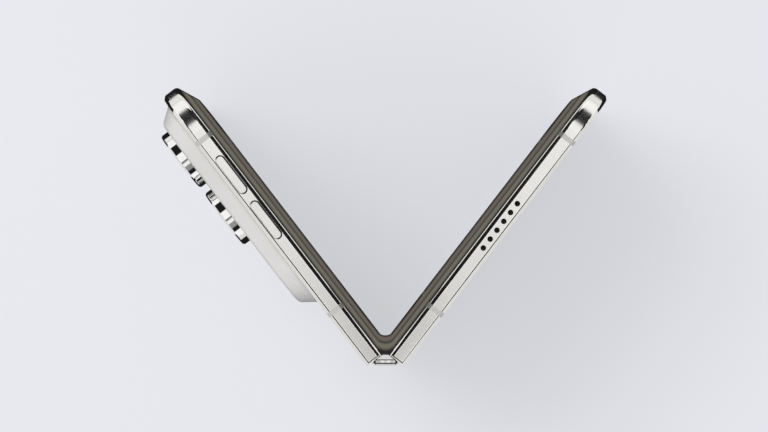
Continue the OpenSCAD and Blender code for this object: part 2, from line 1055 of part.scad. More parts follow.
module pins() {
    for (z = module_heights, side = [-1, 1]) {
        translate([side * axis_x, axis_y, z - pin_l / 2])
            cylinder(r = pin_r, h = pin_l);
        translate([side * gear_pitch_r, axis_y, z - pin_l / 2])
            cylinder(r = idler_pin_r, h = pin_l);
    }
}

module hinge_pins() {
    color(steel) pins();
}

// A block that fills the cover between two heights and carries the pins
module hinge_block(low, high, foot_low, foot_high) {
    color(satin_metal)
        difference() {
            union() {
                along_spine(low, high)
                    spine_section(spine_r - 0.05, -block_top, -block_gap);
                along_spine(foot_low, foot_high)
                    spine_section(spine_r - spine_wall, -block_gap - 0.1, spine_r);
            }
            pins();
        }
}

module hinge_block_lower() {
    high = module_z - window_w / 2;
    hinge_block(spine_z, high, spine_z + spine_end_wall, high);
}

module hinge_carrier() {
    low = module_z + window_w / 2;
    hinge_block(low, body_h - low, low, body_h - low);
}

module hinge_block_upper() {
    low = body_h - module_z + window_w / 2;
    hinge_block(low, body_h - spine_z, low, body_h - spine_z - spine_end_wall);
}

// ---------- hinge gears and arms ----------

gear_module = 2 * gear_pitch_r / gear_teeth;
gear_tip_r = gear_pitch_r + 0.8 * gear_module;
gear_root_r = gear_pitch_r - 1.05 * gear_module;
gear_base_r = gear_pitch_r * cos(pressure_angle);
flank_steps = 4;

// Angle round the gear at which the involute has come out to radius r
function involute_angle(r) =
    let (roll = sqrt(max(0, pow(r / gear_base_r, 2) - 1)))
    roll * 180 / PI - atan(roll);

// Half the angle of a tooth at radius r
function tooth_half_angle(r) =
    90 / gear_teeth - gear_play / 4 / gear_pitch_r * 180 / PI
    + involute_angle(gear_pitch_r) - involute_angle(r);

function polar(r, a) = [r * cos(a), r * sin(a)];

function flank_radius(i) = gear_base_r + (gear_tip_r - gear_base_r) * i / flank_steps;

function tooth(middle) = concat(
    [polar(gear_root_r, middle - tooth_half_angle(gear_base_r))],
    [for (i = [0 : flank_steps]) polar(flank_radius(i), middle - tooth_half_angle(flank_radius(i)))],
    [for (i = [flank_steps : -1 : 0]) polar(flank_radius(i), middle + tooth_half_angle(flank_radius(i)))],
    [polar(gear_root_r, middle + tooth_half_angle(gear_base_r))]
);

module gear_shape(phase = 0) {
    polygon([for (i = [0 : gear_teeth - 1]) each tooth(phase + 360 * i / gear_teeth)]);
}

hub_r = 0.55;

module idler_gear(side) {
    color(steel)
        for (z = module_heights)
            translate([side * gear_pitch_r, axis_y, z])
                difference() {
                    union() {
                        translate([0, 0, -gear_w / 2])
                            linear_extrude(gear_w)
                                gear_shape();
                        translate([0, 0, -arm_w / 2])
                            cylinder(r = hub_r, h = arm_w);
                    }
                    translate([0, 0, -arm_w])
                        cylinder(r = idler_pin_r + pin_clearance, h = 2 * arm_w);
                }
}

module idler_gear_a() {
    idler_gear(1);
}

module idler_gear_b() {
    idler_gear(-1);
}

// Arm in section about its hinge axis: below the slope that the bending display needs,
// with a neck that clears the edge of the spine cover when the phone lies flat
module arm_section() {
    plate_low = inner_top - axis_depth;
    neck_top = arm_rise + seat_gap - axis_depth;
    neck_low = -1.6 * seat_gap;
    neck_start = spine_r - spine_wall - 2 * seat_gap;
    polygon([
        [idler_pin_r, neck_top], [fold_reach - 1.1, neck_top], [fold_reach - 0.4, plate_low],
        [arm_l, plate_low], [arm_l, plate_low + arm_t], [pocket_s + 0.9, plate_low + arm_t],
        [pocket_s, neck_low], [neck_start, neck_low], [idler_pin_r, knuckle_r / 2]
    ]);
}

arm_screw_spots = [6, 10];

module hinge_arm(gear_phase) {
    sleeve_w = (arm_w - gear_w) / 2 - 0.1;
    plate_low = inner_top - axis_depth;
    difference() {
        union() {
            translate([0, 0, -gear_w / 2])
                linear_extrude(gear_w)
                    rotate(90 - half_angle)
                        gear_shape(gear_phase);
            translate([0, 0, -arm_w / 2])
                linear_extrude(arm_w)
                    arm_section();
            for (low = [-arm_w / 2, arm_w / 2 - sleeve_w])
                translate([0, 0, low])
                    cylinder(r = knuckle_r, h = sleeve_w);
            translate([rail_s + 2 * seat_gap, plate_low, -arm_plate_w / 2])
                cube([arm_l - rail_s - 2 * seat_gap, arm_t, arm_plate_w]);
        }
        translate([0, 0, -arm_w])
            cylinder(r = pin_r + pin_clearance, h = 2 * arm_w);
        for (s = arm_screw_spots)
            translate([s, 0, 0])
                rotate([90, 0, 0])
                    cylinder(r = screw_r, h = 4 * half_t, center = true);
    }
}

module arm_pair(gear_phase) {
    for (z = module_heights)
        translate([0, axis_depth, z])
            hinge_arm(gear_phase);
}

module arm_screws() {
    for (z = module_heights, s = arm_screw_spots)
        translate([s, inner_top, z])
            rotate([-90, 0, 0]) {
                cylinder(r = screw_r, h = arm_t);
                translate([0, 0, arm_t])
                    cylinder(r = 2 * screw_r, h = screw_r);
            }
}

module camera_hinge_arms() {
    color(steel) camera_side() arm_pair(0);
}

module cover_hinge_arms() {
    color(steel) cover_side() arm_pair(180);
}

module camera_arm_screws() {
    color(bright_metal) camera_side() arm_screws();
}

module cover_arm_screws() {
    color(bright_metal) cover_side() arm_screws();
}

spine_cover();
hinge_block_lower();
hinge_carrier();
hinge_block_upper();
hinge_pins();
idler_gear_a();
idler_gear_b();
display_fold();
camera_half_frame();
camera_half_antenna_bands();
camera_back_glass();
lens_ring_outer();
lens_ring_inner();
lens_window_outer();
lens_window_inner();
camera_module_outer();
camera_module_inner();
flash_window();
volume_up_button();
volume_down_button();
side_button();
main_board();
shield_can();
camera_half_battery();
charging_port();
bottom_speaker();
bottom_speaker_mesh();
haptic_motor();
inner_camera();
camera_half_support_plate();
display_panel_camera_side();
camera_hinge_arms();
camera_arm_screws();
cover_half_frame();
cover_half_antenna_bands();
cover_glass();
cover_display();
cover_camera();
top_speaker();
top_speaker_mesh();
cover_half_battery();
cover_half_board();
cover_half_support_plate();
display_panel_cover_side();
cover_hinge_arms();
cover_arm_screws();
card_tray();
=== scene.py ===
"""Looks of a foldable phone that stands half open: finishes for its machined, ceramic and glass pieces, the
bending display, the lens stacks, the contacts in the port, and a plain studio seen down the hinge."""

import json
import math

import bmesh
import bpy
from mathutils import Matrix, Vector


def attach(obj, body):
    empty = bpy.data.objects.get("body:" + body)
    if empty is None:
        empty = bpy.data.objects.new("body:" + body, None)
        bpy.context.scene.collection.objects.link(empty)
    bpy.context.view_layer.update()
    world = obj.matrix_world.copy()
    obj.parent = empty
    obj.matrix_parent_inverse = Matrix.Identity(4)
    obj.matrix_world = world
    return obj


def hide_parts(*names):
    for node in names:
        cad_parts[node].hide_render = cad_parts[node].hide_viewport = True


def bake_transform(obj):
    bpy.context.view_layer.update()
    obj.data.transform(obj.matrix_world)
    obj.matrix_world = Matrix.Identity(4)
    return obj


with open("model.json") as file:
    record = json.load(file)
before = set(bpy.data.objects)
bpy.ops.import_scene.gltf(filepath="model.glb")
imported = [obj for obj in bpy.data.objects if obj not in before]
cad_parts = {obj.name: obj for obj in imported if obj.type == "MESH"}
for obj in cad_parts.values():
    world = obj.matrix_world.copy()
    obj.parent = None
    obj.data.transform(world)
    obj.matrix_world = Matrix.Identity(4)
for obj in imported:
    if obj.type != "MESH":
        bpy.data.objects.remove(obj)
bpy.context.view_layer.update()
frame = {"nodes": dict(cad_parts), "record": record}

# Sizes are millimetres. Depth is measured on a half, from its lip to its back.
MM = 0.001
BODY_HEIGHT = 120.6
HALF_LENGTH = 83.8
AXIS_X = 2.5
AXIS_Y = -0.355
AXIS_DEPTH = 2.2
FOLD_TURN = math.radians(52.5)
ALONG = math.cos(FOLD_TURN)
ACROSS = math.sin(FOLD_TURN)
SIDE = {"camera": 1, "cover": -1}
BEZEL = 1.5
EDGE_MIDDLE = 2.521
RIM = 2.0

BUTTON_WIDTH = 2.5
BUTTON_GAP = 0.15
FLANGE_WIDTH = 2.24
VOLUME_LENGTH = 11.5
VOLUME_UP = 43.75
VOLUME_DOWN = 57.75
SIDE_LENGTH = 13.0
SIDE_HEIGHT = 72.0

LENS_HEIGHT = BODY_HEIGHT - 15.5
LENSES = {"outer": 68.4, "inner": 50.4}
FLASH = 31.4


# ---------- shader maths ----------


class Shade:
    """A socket of a shader tree. Arithmetic on it adds Math nodes, and make() adds any other node."""

    def __init__(self, tree, socket=None):
        self.tree = tree
        self.socket = socket

    def make(self, kind, settings=None, values=None, out=0):
        node = self.tree.nodes.new("ShaderNode" + kind)
        for name, value in (settings or {}).items():
            setattr(node, name, value)
        for name, value in (values or {}).items():
            if isinstance(value, Shade):
                self.tree.links.new(value.socket, node.inputs[name])
            else:
                node.inputs[name].default_value = value
        return Shade(self.tree, node.outputs[out])

    def maths(self, operation, *others):
        return self.make("Math", {"operation": operation}, dict(enumerate((self, *others))))

    def __add__(self, other):
        return self.maths("ADD", other)

    __radd__ = __add__

    def __sub__(self, other):
        return self.maths("SUBTRACT", other)

    def __rsub__(self, other):
        return self * -1.0 + other

    def __mul__(self, other):
        return self.maths("MULTIPLY", other)

    __rmul__ = __mul__

    def __truediv__(self, other):
        return self.maths("DIVIDE", other)

    def ramp(self, low, high, start=0.0, end=1.0):
        """Smooth step from start to end while the value goes from low to high."""
        return self.make(
            "MapRange",
            {"interpolation_type": "SMOOTHSTEP"},
            {"Value": self, "From Min": low, "From Max": high, "To Min": start, "To Max": end},
        )

    def mix(self, first, second):
        """The first colour where the value is 0 and the second where it is 1."""
        return self.make("Mix", {"data_type": "RGBA"}, {0: self, 6: first, 7: second}, out=2)


def colour(red, green, blue):
    return (red, green, blue, 1.0)


def cleared(owner):
    """The start of a shader tree, for a material or world whose nodes are taken out."""
    owner.use_nodes = True
    owner.node_tree.nodes.clear()
    return Shade(owner.node_tree)


def show(start, shader, output="OutputMaterial"):
    end = start.tree.nodes.new("ShaderNode" + output)
    start.tree.links.new(shader.socket, end.inputs["Surface"])


def millimetres(start):
    place = start.make("TexCoord", out=3)
    return start.make("VectorMath", {"operation": "SCALE"}, {0: place, "Scale": 1 / MM})


def parted(start, vector):
    """The three components of a vector."""
    x = start.make("SeparateXYZ", None, {0: vector})
    return x, other_output(x, 1), other_output(x, 2)


def other_output(shade, name):
    """Another output of the node that a socket belongs to."""
    return Shade(shade.tree, shade.socket.node.outputs[name])


def finish(name, paint, constants):
    """A Principled material. paint(start, place) gives what varies, where place is in millimetres."""
    material = bpy.data.materials.new(name)
    start = cleared(material)
    shader = start.make("BsdfPrincipled", None, {**constants, **paint(start, millimetres(start))})
    show(start, shader)
    return material


def noise(start, place, scale, detail=2.0, rough=0.5):
    values = {"Vector": place, "Scale": scale, "Detail": detail, "Roughness": rough}
    return start.make("TexNoise", None, values)


def stretched(start, place, size):
    return start.make("VectorMath", {"operation": "MULTIPLY"}, {0: place, 1: size})


def bump(start, height, depth_mm, strength=1.0):
    return start.make("Bump", None, {"Strength": strength, "Distance": depth_mm * MM, "Height": height})


def half_coordinates(start, place):
    """Distance from the hinge edge, depth from the lip and height, on either half."""
    x, y, z = parted(start, place)
    out = x.maths("ABSOLUTE") - AXIS_X
    back = y - AXIS_Y
    along = out * ALONG - back * ACROSS
    depth = out * ACROSS + back * ALONG + AXIS_DEPTH
    return along, depth, z


# ---------- finishes ----------


def pill_distance(across, up, length, width):
    """Distance outside a pill outline centred at 0, 0."""
    over = (across.maths("ABSOLUTE") - (length - width) / 2).maths("MAXIMUM", 0.0)
    return (over * over + up * up).maths("SQRT") - width / 2


def inside_bezel(along, height, corner=11.0):
    """1 within the lip of a half, whose outer corners are round."""
    inset = BEZEL + corner
    from_middle = (height - BODY_HEIGHT / 2).maths("ABSOLUTE")
    over_s = (along - (HALF_LENGTH - inset)).maths("MAXIMUM", 0.0)
    over_z = (from_middle - (BODY_HEIGHT / 2 - inset)).maths("MAXIMUM", 0.0)
    return ((over_s * over_s + over_z * over_z).maths("SQRT") - corner).ramp(0.0, 0.03, 1.0, 0.0)


def painted_button_shade(outside, up, level, surface):
    """1 for painted shade in the slit round a button and for a painted dark reflection on the bevelled edge of its
    cap, but not on the side to the back.
    """
    gap_painted_shade = level.ramp(surface - 2.1, surface - 2.0) * level.ramp(surface - 0.06, surface - 0.03, 1.0, 0.0)
    edge_painted_reflection = outside.ramp(-0.40, -0.34) * level.ramp(surface - 0.1, surface - 0.06)
    return gap_painted_shade.maths("MAXIMUM", edge_painted_reflection) * outside.ramp(0.0, 0.02, 1.0, 0.0) * up.ramp(0.4, 0.9, 1.0, 0.0)


def frame_metal(start, place):
    """Blasted flats between polished edges. Black, non-metallic paint stands in for light: a painted dark reflection
    on the step inside the lip by the display, painted shade in the hollow beside the spine, and painted shade and
    reflection round the buttons, which only the camera half has."""
    along, depth, height = half_coordinates(start, place)
    flat = depth.ramp(1.25, 1.45) * depth.ramp(3.6, 3.8, 1.0, 0.0)
    cloud = noise(start, place, 0.12, 3.0)
    grain = noise(start, place, 9.0, 2.0, 0.7)
    metal = cloud.ramp(0.3, 0.7).mix(colour(0.90, 0.892, 0.868), colour(0.94, 0.932, 0.91))
    # Painted reflection: the metal is painted black on the step inside the lip by the display, where its edge
    # mirrors dark.
    ledge_painted_reflection = inside_bezel(along, height) * depth.ramp(0.85, 0.95, 1.0, 0.0)
    # Painted shade: black in the hollow beside the spine, between the two frames.
    pocket_painted_shade = along.ramp(3.4, 3.5, 1.0, 0.0) * depth.ramp(2.9, 3.0, 1.0, 0.0)
    pocket_painted_shade = pocket_painted_shade * height.ramp(1.1, 1.15) * height.ramp(119.45, 119.5, 1.0, 0.0)
    up = depth - EDGE_MIDDLE
    volume_middle = (VOLUME_UP + VOLUME_DOWN) / 2
    from_button = (along - volume_middle).maths("ABSOLUTE") - (VOLUME_DOWN - VOLUME_UP) / 2
    volume_outline = pill_distance(from_button, up, VOLUME_LENGTH, BUTTON_WIDTH)
    side_outline = pill_distance(height - SIDE_HEIGHT, up, SIDE_LENGTH, BUTTON_WIDTH)
    # Painted shade in the slits round the buttons, and a painted dark reflection on their caps' edges, on the
    # display side only.
    painted_button_shades = painted_button_shade(volume_outline, up, height, BODY_HEIGHT).maths(
        "MAXIMUM", painted_button_shade(side_outline, up, along, HALF_LENGTH)
    )
    on_camera_half = parted(start, place)[0].maths("GREATER_THAN", 0.0)
    # All the painted shade and dark reflection together, black and not metallic.
    dark = ledge_painted_reflection.maths("MAXIMUM", pocket_painted_shade).maths("MAXIMUM", painted_button_shades * on_camera_half)
    return {
        "Base Color": dark.mix(metal, colour(0.012, 0.012, 0.013)),
        "Roughness": flat * (grain * 0.05 + 0.09) + 0.08,
        "Metallic": 1.0 - dark,
        "Normal": bump(start, grain * flat, 0.0003),
    }


def ring_metal(start, place):
    wear = noise(start, place, 1.2, 4.0)
    return {
        "Base Color": wear.ramp(0.35, 0.65).mix(colour(0.86, 0.86, 0.86), colour(0.93, 0.93, 0.925)),
        "Roughness": wear * 0.05 + 0.03,
    }


def pearl(start, place):
    cloud = noise(start, place, 0.05, 3.0)
    speck = noise(start, place, 14.0, 2.0, 0.7)
    tone = cloud.ramp(0.3, 0.7).mix(colour(0.71, 0.70, 0.68), colour(0.765, 0.75, 0.73))
    return {
        "Base Color": tone,
        "Roughness": speck * 0.12 + 0.3,
        "Normal": bump(start, speck, 0.0006),
    }


def screen(start, place):
    """Black glass. Seen almost edge on, as down the hinge, it glows in two soft warm bands,
    which stand in for a reflection."""
    smear = noise(start, place, 0.06, 4.0, 0.6)
    height = parted(start, place)[2] / BODY_HEIGHT
    lower = height.ramp(0.02, 0.2) * height.ramp(0.3, 0.52, 1.0, 0.0)
    upper = height.ramp(0.4, 0.62) * height.ramp(0.7, 0.96, 1.0, 0.0)
    brown = lower.mix(colour(0.012, 0.012, 0.012), colour(0.13, 0.11, 0.09))
    bands = upper.mix(brown, colour(0.15, 0.14, 0.11))
    grazing = start.make("LayerWeight", None, {"Blend": 0.5}, out=1).ramp(0.90, 0.95)
    return {
        "Emission Color": grazing.mix(colour(0.0, 0.0, 0.0), bands),
        "Base Color": smear.ramp(0.3, 0.7).mix(colour(0.008, 0.008, 0.009), colour(0.014, 0.014, 0.015)),
        "Roughness": smear.ramp(0.45, 0.8, 0.03, 0.07),
    }


def outer_screen(start, place):
    """Cover glass, black to the edge. The lit area is a shade lighter, and a window for the camera is clear."""
    along, _, height = half_coordinates(start, place)
    inset = 2.6
    fade = 0.1
    near, far, top = 3.6 + inset, HALF_LENGTH - inset, BODY_HEIGHT - inset
    lit = along.ramp(near, near + fade) * along.ramp(far - fade, far, 1.0, 0.0)
    lit = lit * height.ramp(inset, inset + fade) * height.ramp(top - fade, top, 1.0, 0.0)
    camera_height = BODY_HEIGHT - 9.0
    from_s = along - HALF_LENGTH / 2
    from_z = height - camera_height
    from_camera = (from_s * from_s + from_z * from_z).maths("SQRT")
    smear = noise(start, place, 0.08, 4.0, 0.6)
    area = lit.mix(colour(0.004, 0.004, 0.005), colour(0.013, 0.013, 0.016))
    eye = from_camera.ramp(1.9, 2.0, 1.0, 0.0)
    return {
        "Base Color": eye.mix(area, colour(0.002, 0.002, 0.003)),
        "Roughness": smear.ramp(0.45, 0.8, 0.04, 0.08),
        "Alpha": from_camera.ramp(1.5, 1.6, 0.25, 1.0),
    }


def lens_glass(start, place):
    film = noise(start, place, 0.3, 2.0)
    return {
        "Base Color": film.mix(colour(0.02, 0.022, 0.03), colour(0.03, 0.028, 0.04)),
        "Roughness": film * 0.02 + 0.01,
        "Alpha": film * 0.1 + 0.3,
    }


def band_plastic(start, place):
    """Light grey antenna band, with painted shade where it crosses the lip."""
    depth = half_coordinates(start, place)[1]
    grain = noise(start, place, 6.0, 3.0)
    light = grain.mix(colour(0.52, 0.515, 0.50), colour(0.57, 0.56, 0.55))
    return {
        # Painted shade: the band is darker where it crosses the lip.
        "Base Color": depth.ramp(1.1, 1.3).mix(colour(0.16, 0.158, 0.15), light),
        "Roughness": grain * 0.15 + 0.4,
        "Normal": bump(start, grain, 0.0015),
    }


def light_seal(start, place):
    grain = noise(start, place, 5.0, 3.0)
    return {
        "Base Color": grain.mix(colour(0.66, 0.655, 0.635), colour(0.71, 0.70, 0.68)),
        "Roughness": grain * 0.15 + 0.4,
        "Normal": bump(start, grain, 0.001),
    }


def machined_steel(start, place):
    lines = noise(start, stretched(start, place, (14.0, 14.0, 0.6)), 1.0, 3.0)
    cloud = noise(start, place, 0.4, 3.0)
    return {
        "Base Color": cloud.ramp(0.3, 0.7).mix(colour(0.48, 0.48, 0.5), colour(0.6, 0.6, 0.61)),
        "Roughness": lines * 0.2 + 0.22,
        "Normal": bump(start, lines, 0.0012),
    }


def woven_mesh(start, place):
    along, depth, _ = half_coordinates(start, place)
    pitch = 0.22
    warp = ((along + depth) * (math.tau / pitch)).maths("SINE")
    weft = ((along - depth) * (math.tau / pitch)).maths("SINE")
    wires = warp.maths("MAXIMUM", weft)
    return {
        "Base Color": wires.ramp(-0.2, 0.9).mix(colour(0.012, 0.012, 0.013), colour(0.14, 0.14, 0.145)),
        "Roughness": wires.ramp(-0.5, 1.0, 0.6, 0.35),
        "Normal": bump(start, wires, 0.03),
    }


def black_plastic(start, place):
    grain = noise(start, place, 7.0, 3.0, 0.6)
    return {
        "Base Color": grain.mix(colour(0.012, 0.012, 0.013), colour(0.026, 0.026, 0.028)),
        "Roughness": grain * 0.2 + 0.35,
        "Normal": bump(start, grain, 0.004),
    }


def flash_cover(start, place):
    """Clear diffuser with fine rings over two warm emitters."""
    along, _, height = half_coordinates(start, place)
    from_s = along - FLASH
    from_z = height - LENS_HEIGHT
    radius = (from_s * from_s + from_z * from_z).maths("SQRT")
    ring_pitch = 0.32
    rings = (radius * (math.tau / ring_pitch)).maths("SINE")
    cell = from_s.maths("ABSOLUTE").ramp(0.9, 1.0, 1.0, 0.0)
    cell = cell * from_z.maths("ABSOLUTE").ramp(0.9, 1.0, 1.0, 0.0)
    return {
        "Base Color": cell.mix(colour(0.78, 0.77, 0.74), colour(0.86, 0.70, 0.30)),
        "Roughness": rings * 0.05 + 0.18,
        "Normal": bump(start, rings * radius.ramp(2.2, 2.4, 1.0, 0.0), 0.02),
    }


def solder_mask(start, place):
    traces = noise(start, stretched(start, place, (0.9, 0.9, 0.9)), 1.0, 0.0)
    lines = (traces * 40.0).maths("SINE")
    return {
        "Base Color": lines.ramp(0.5, 0.8).mix(colour(0.012, 0.045, 0.028), colour(0.03, 0.10, 0.06)),
        "Roughness": lines * 0.05 + 0.3,
        "Normal": bump(start, lines, 0.01),
    }


def wrapped_cell(start, place):
    wrinkle = noise(start, stretched(start, place, (0.25, 0.25, 0.08)), 1.0, 4.0)
    return {
        "Base Color": wrinkle.mix(colour(0.04, 0.04, 0.045), colour(0.075, 0.075, 0.08)),
        "Roughness": wrinkle * 0.2 + 0.3,
        "Normal": bump(start, wrinkle, 0.05),
    }


def gold_plate(start, place):
    rub = noise(start, place, 5.0, 3.0)
    return {
        "Base Color": rub.mix(colour(0.83, 0.62, 0.26), colour(0.92, 0.74, 0.38)),
        "Roughness": rub * 0.15 + 0.2,
    }


def optic(start, place):
    bloom = noise(start, place, 0.5, 1.0)
    return {
        "Base Color": bloom.ramp(0.35, 0.65).mix(colour(0.012, 0.016, 0.05), colour(0.05, 0.018, 0.05)),
        "Roughness": bloom * 0.03 + 0.02,
    }


FINISHES = {
    "satin_metal": finish("frame metal", frame_metal, {"IOR": 1.45}),
    "polished_metal": finish("ring metal", ring_metal, {"Metallic": 1.0}),
    "pearl_glass": finish("pearl glass", pearl, {"IOR": 1.5, "Coat Weight": 0.25, "Coat Roughness": 0.12}),
    "display": finish("screen glass", screen, {"IOR": 1.5, "Emission Strength": 1.0}),
    "cover_glass": finish("cover glass", outer_screen, {"IOR": 1.5}),
    "lens_glass": finish("lens glass", lens_glass, {"IOR": 1.5, "Coat Weight": 1.0}),
    "band_plastic": finish("band plastic", band_plastic, {"IOR": 1.5}),
    "steel": finish("machined steel", machined_steel, {"Metallic": 1.0}),
    "mesh_steel": finish("woven mesh", woven_mesh, {"Metallic": 0.6}),
    "black_plastic": finish("black plastic", black_plastic, {"IOR": 1.5}),
    "flash_plastic": finish("flash cover", flash_cover, {"IOR": 1.5, "Coat Weight": 0.6}),
    "circuit_board": finish("solder mask", solder_mask, {"IOR": 1.5}),
    "battery_foil": finish("wrapped cell", wrapped_cell, {"Metallic": 0.4}),
}
LIGHT_SEAL = finish("light seal", light_seal, {"IOR": 1.5})
CONTACTS = finish("gold plate", gold_plate, {"Metallic": 1.0})
OPTIC = finish("lens element", optic, {"IOR": 1.6, "Coat Weight": 1.0})

for part in frame["record"]["subparts"]:
    frame["nodes"][part["node"]].active_material = FINISHES[part["material_slot"]]


# ---------- new pieces ----------


def on_half(side):
    """Carries a piece of a half from (hinge edge to free edge, height, lip to back) to its place, in millimetres."""
    flip = SIDE[side]
    return Matrix(
        (
            (flip * ALONG, 0.0, flip * ACROSS, flip * (AXIS_X - AXIS_DEPTH * ACROSS)),
            (-ACROSS, 0.0, ALONG, AXIS_Y - AXIS_DEPTH * ALONG),
            (0.0, 1.0, 0.0, 0.0),
            (0.0, 0.0, 0.0, 1.0),
        )
    )


def piece(name, shape, material, body=None, crease=35.0):
    """The finished object of a bmesh drawn in millimetres in the row frame."""
    bmesh.ops.remove_doubles(shape, verts=shape.verts, dist=1e-5)
    bmesh.ops.scale(shape, verts=shape.verts, vec=(MM, MM, MM))
    bmesh.ops.recalc_face_normals(shape, faces=shape.faces)
    for face in shape.faces:
        face.smooth = True
    for edge in shape.edges:
        if len(edge.link_faces) == 2 and edge.calc_face_angle() > math.radians(crease):
            edge.smooth = False
    mesh = bpy.data.meshes.new(name)
    shape.to_mesh(mesh)
    shape.free()
    mesh.materials.append(material)
    made = bpy.data.objects.new(name, mesh)
    bpy.context.scene.collection.objects.link(made)
    if body:
        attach(made, body)
    return made


# The bending display at rest: an arc from the middle of the fold, then a short straight to the flat display,
# which starts FLAT_FROM along the half and lies DISPLAY_TOP under its lip
FOLD_R = 2.93
DISPLAY_TOP = 0.25
FLAT_FROM = 2.98
DROP = AXIS_DEPTH - DISPLAY_TOP
ARC_END = (FOLD_R * ACROSS - AXIS_X + DROP * ACROSS) / ALONG
FOOT_UP = ARC_END * ACROSS + DROP * ALONG - FOLD_R * (1 - ALONG)
ARC_RUN = FOLD_R * FOLD_TURN
FOLD_RUN = ARC_RUN + FLAT_FROM - ARC_END
STRIP_THICKNESS = 0.5
SEAL_REACH = 2.1
SEAL_TOP = 0.3
SEAL_WIDTH = 1.15
BEND_INSET = 1.55


def sheet(columns, rows):
    """A closed sheet from -1 to 1 in x and y, and the corners of its second face, to be lifted."""
    shape = bmesh.new()
    bmesh.ops.create_grid(shape, x_segments=columns, y_segments=rows, size=1.0)
    shell = bmesh.ops.extrude_face_region(shape, geom=shape.faces[:])
    return shape, {v for v in shell["geom"] if isinstance(v, bmesh.types.BMVert)}


def fold_line(run, depth):
    """Where a point of the bending display lies at rest, a run from its middle and a depth under the lip."""
    turn = min(run, ARC_RUN) / FOLD_R
    straight = max(run - ARC_RUN, 0.0)
    sink = depth - DISPLAY_TOP
    x = (FOLD_R + sink) * math.sin(turn) + straight * math.cos(turn)
    up = FOOT_UP + FOLD_R - (FOLD_R + sink) * math.cos(turn) + straight * math.sin(turn)
    return x, AXIS_Y - up


def fold_strip(side, name, reach, top, low, high, material):
    """Half of a strip curved along the display's fold at rest, from the middle out to a reach and between two
    heights.
    """
    flip = SIDE[side]
    film, lifted = sheet(40, 12)
    for vert in film.verts:
        depth = top + (STRIP_THICKNESS if vert in lifted else 0.0)
        x, y = fold_line(reach * (vert.co.x + 1) / 2, depth)
        vert.co = (flip * x, y, low + (high - low) * (vert.co.y + 1) / 2)
    made = piece(f"{name}_{side}_side", film, material)
    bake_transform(made)
    return made


for side in SIDE:
    heights = (BEND_INSET, BODY_HEIGHT - BEND_INSET)
    bend = fold_strip(side, "display_bend", FOLD_RUN, DISPLAY_TOP, *heights, FINISHES["display"])
    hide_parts("display_fold")
    for end, low in (("lower", 0.35), ("upper", BODY_HEIGHT - 1.5)):
        heights = (low, low + SEAL_WIDTH)
        seal = fold_strip(side, f"fold_seal_{end}", SEAL_REACH, SEAL_TOP, *heights, FINISHES["black_plastic"])


END_REACH = 0.68
END_FLARE = 1.48
END_DROP = 1.3
END_LENGTH = 1.14
END_THICKNESS = 1.05


def end_seal(side, end, low):
    """Half of the light seal over the end of the spine, whose slanted edge follows the half.

    It reaches END_REACH from the middle beside the display and END_FLARE more on the outer side."""
    flip = SIDE[side]
    shape, lifted = sheet(16, 6)
    for vert in shape.verts:
        across = (vert.co.x + 1) / 2
        down = (vert.co.y + 1) / 2
        x = across * (END_REACH + END_FLARE * down)
        rise = END_THICKNESS if vert in lifted else 0.0
        vert.co = (flip * x, AXIS_Y - END_DROP + END_LENGTH * down, low + rise)
    made = piece(f"spine_end_seal_{end}_{side}_side", shape, LIGHT_SEAL)
    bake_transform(made)


for side in SIDE:
    end_seal(side, "lower", 0.2)
    end_seal(side, "upper", BODY_HEIGHT - 1.25)


def turned(profile, steps=96):
    """A solid of revolution about Z from an outline of (radius, height), closed by the axis or by itself."""
    shape = bmesh.new()
    corners = [shape.verts.new((radius, 0.0, height)) for radius, height in profile]
    edges = [shape.edges.new((a, b)) for a, b in zip(corners, corners[1:])]
    if profile[0][0] > 0:
        edges.append(shape.edges.new((corners[-1], corners[0])))
    middle, up = (0, 0, 0), (0, 0, 1)
    bmesh.ops.spin(
        shape, geom=corners + edges, cent=middle, axis=up, angle=math.tau, steps=steps, use_merge=True
    )
    bmesh.ops.remove_doubles(shape, verts=shape.verts, dist=1e-5)
    return shape


def seated(shape, side, along, height, depth):
    """Moves a piece drawn with its axis along Z to that place on a half, with Z from lip to back."""
    bmesh.ops.transform(
        shape,
        verts=shape.verts,
        matrix=on_half(side) @ Matrix.Translation((along, height, depth)),
    )
    return shape


BARREL_STEP = 9.45
BARREL_TOP = 10.25
BAFFLE_INNER = 4.95
BAFFLE_OUTER = 6.05
GROOVES = 4
GROOVE_STEP = 0.27
GROOVE_WIDTH = 0.16
GROOVE_FALL = 0.06
ELEMENT_RADIUS = 2.95
ELEMENT_EDGE = 0.12
ELEMENT_CROWN = 0.5


def baffle_outline():
    """A ring whose face steps down towards the lens in grooves."""
    outline = [(BAFFLE_INNER, 0.0), (BAFFLE_OUTER, 0.0)]
    for ring in range(GROOVES):
        radius = BAFFLE_OUTER - ring * GROOVE_STEP
        top = 0.5 - ring * GROOVE_FALL
        inner = radius - GROOVE_WIDTH
        outline += [(radius, top), (inner, top), (inner, top - GROOVE_WIDTH)]
    return outline + [(BAFFLE_INNER, GROOVE_WIDTH)]


def element_outline():
    """A front lens with a short straight edge under its dome."""
    outline = [(0.0, 0.0), (ELEMENT_RADIUS, 0.0), (ELEMENT_RADIUS, ELEMENT_EDGE)]
    for angle in range(10, 90, 10):
        turn = math.radians(angle)
        outline += [(ELEMENT_RADIUS * math.cos(turn), ELEMENT_EDGE + ELEMENT_CROWN * math.sin(turn))]
    return outline + [(0.0, ELEMENT_EDGE + ELEMENT_CROWN)]


for label, along in LENSES.items():
    baffle = seated(turned(baffle_outline()), "camera", along, LENS_HEIGHT, BARREL_STEP)
    piece(f"lens_baffle_{label}", baffle, FINISHES["black_plastic"], "camera_half", 20.0)
    element = seated(turned(element_outline()), "camera", along, LENS_HEIGHT, BARREL_TOP - 0.5)
    piece(f"lens_element_{label}", element, OPTIC, "camera_half", 50.0)


CAP_PLAY = 0.14
CAP_ROUNDING = 0.12
FLANGE_REACH = 0.8
LAYER = 0.4
STEM_LENGTH = 2.4
STEM_WIDTH = 1.2


